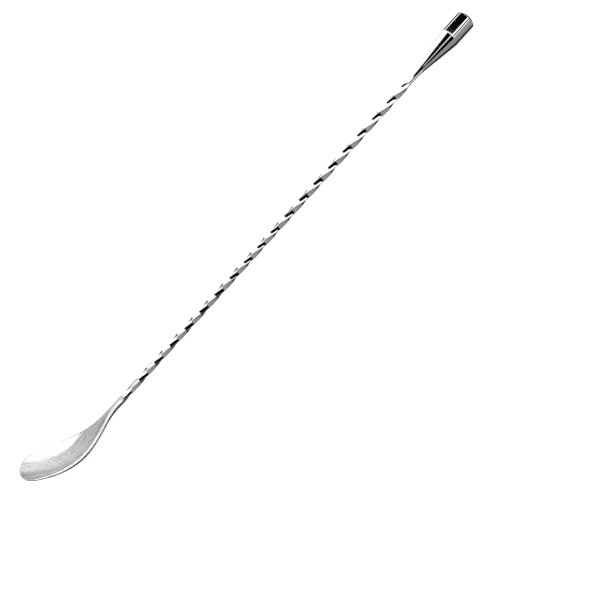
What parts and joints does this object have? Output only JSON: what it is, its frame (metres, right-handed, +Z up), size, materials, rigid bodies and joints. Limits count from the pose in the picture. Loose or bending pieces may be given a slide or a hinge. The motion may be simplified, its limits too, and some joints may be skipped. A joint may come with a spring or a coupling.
{
  "type": "bar spoon",
  "caption": "Long polished bar spoon with a shallow egg-shaped bowl, a twisted square stem and a tapered, weighted head.",
  "frame": {"origin": "on the surface the spoon lies on, under the middle of its length and width", "axes": "+X from the bowl's tip to the head, along the stem; +Z up, out of the bowl's open side; +Y across the bowl"},
  "size_m": [0.305, 0.0228, 0.0192],
  "materials": {
    "polished_steel": "mirror polished stainless steel with fine buffing lines and light wear",
    "braze_filler": "silver brazing filler, hidden in the joints"
  },
  "bodies": {
    "root": {"bowl": "polished_steel", "stem": "polished_steel", "head": "polished_steel", "neck_braze": "braze_filler", "head_braze": "braze_filler"}
  },
  "joints": []
}
